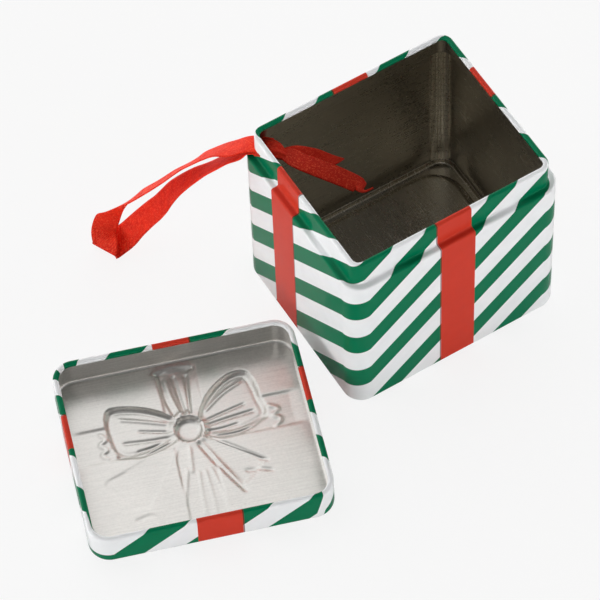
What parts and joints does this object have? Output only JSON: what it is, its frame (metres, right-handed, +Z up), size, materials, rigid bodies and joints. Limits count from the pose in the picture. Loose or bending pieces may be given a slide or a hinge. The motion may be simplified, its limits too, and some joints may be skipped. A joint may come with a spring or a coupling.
{
  "type": "gift tin",
  "caption": "Small rectangular tinplate gift box, open, with its lift-off lid lying upside down beside it and a satin ribbon loop through a slot in the neck.",
  "frame": {"origin": "middle of the tin's foot, on the surface it stands on", "axes": "+Z up out of the tin's mouth; -Y is out of the wide front side, -X out of the narrow left side"},
  "size_m": [0.1471, 0.1091, 0.062],
  "materials": {
    "printed_tinplate": "gloss lacquered print in green and white slanting stripes with a red band up the middle of each side",
    "bare_tinplate": "bright tinplate with a fine rolled grain; the lid's outside has the same print as the tin",
    "satin_ribbon": "satin with a fine sparkle"
  },
  "bodies": {
    "tin": {"tin_wall": "printed_tinplate", "tin_base": "bare_tinplate", "ribbon_loop": "satin_ribbon", "ribbon_knot": "satin_ribbon", "ribbon_tail_left": "satin_ribbon", "ribbon_tail_right": "satin_ribbon"},
    "lid": {"lid": "bare_tinplate"}
  },
  "joints": [
    {"name": "lid_lift", "type": "slide", "parent": "tin", "child": "lid", "axis": [0, 0, 1], "range_m": [0, 0.08]}
  ]
}
